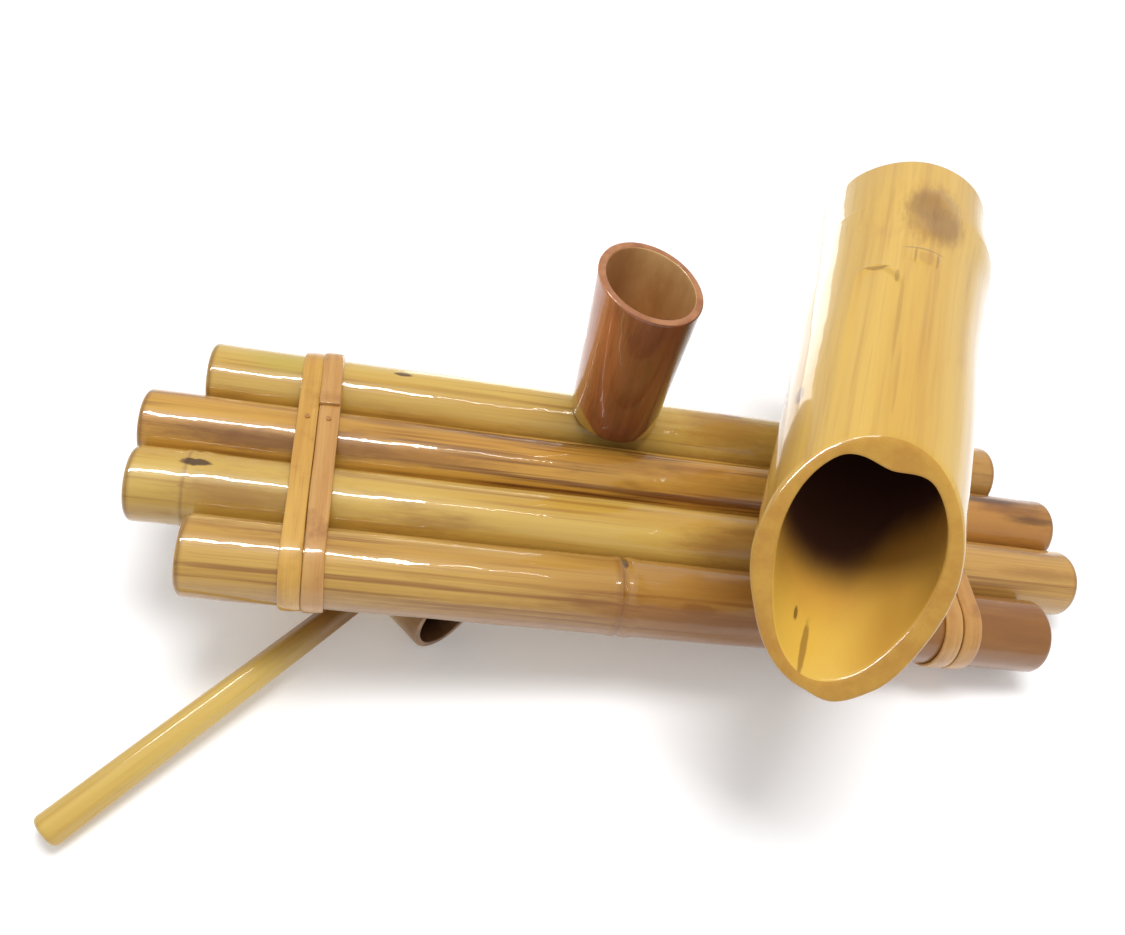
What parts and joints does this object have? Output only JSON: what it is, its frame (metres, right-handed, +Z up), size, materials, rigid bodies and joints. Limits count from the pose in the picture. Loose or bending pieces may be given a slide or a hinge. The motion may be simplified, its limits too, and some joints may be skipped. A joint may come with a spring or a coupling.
{
  "type": "bamboo water spout set",
  "caption": "Raft of tied lacquered bamboo poles with an upright cup and a slant-cut swivelling spout, propped on a loose bamboo ladle lying underneath.",
  "frame": {"origin": "on the resting surface, under the middle of the whole set's box", "axes": "+Z up, +X along the poles to the raft's low end, +Y to the back; the spout's mouth faces -Y"},
  "size_m": [0.5248, 0.3102, 0.1886],
  "materials": {
    "bamboo_light": "clear gloss lacquer over pale golden bamboo",
    "bamboo_brown": "clear gloss lacquer over browner bamboo",
    "bamboo_cup": "gloss lacquer over reddish-brown bamboo",
    "bamboo_spout": "gloss lacquer over pale golden bamboo",
    "bamboo_ladle": "satin lacquer over pale bamboo",
    "rattan": "lacquered flat rattan strip",
    "hardwood": "plain turned wood",
    "brad_metal": "bright brad heads",
    "plastic": "dark tube and washer",
    "rubber_bush": "soft black bush"
  },
  "bodies": {
    "raft": {"pole_front": "bamboo_light", "pole_second": "bamboo_light", "pole_third": "bamboo_brown", "pole_back": "bamboo_light", "cross_dowel_left": "hardwood", "cross_dowel_right": "hardwood", "strip_left_outer": "rattan", "strip_left_inner": "rattan", "strip_right_inner": "rattan", "strip_right_outer": "rattan", "binding_brads": "brad_metal", "cup": "bamboo_cup", "cup_peg": "hardwood", "spout_post": "bamboo_light", "swivel_washer": "plastic", "riser_tube": "plastic", "hose_tail": "plastic"},
    "spout": {"spout_culm": "bamboo_spout", "spout_block": "hardwood", "spout_bush": "rubber_bush", "block_pegs": "hardwood"},
    "ladle": {"ladle_cup": "bamboo_ladle", "ladle_handle": "bamboo_ladle", "ladle_peg": "hardwood"}
  },
  "joints": [
    {"name": "spout_swivel", "type": "hinge", "parent": "raft", "child": "spout", "pos_m": [0.1125, 0.02729, 0.08903], "axis": [0.1288, 0, 0.9917], "range_deg": [-30, 30]},
    {"name": "ladle_draw", "type": "slide", "parent": "raft", "child": "ladle", "axis": [-0.7278, -0.6858, 0], "range_m": [0, 0.22]}
  ]
}
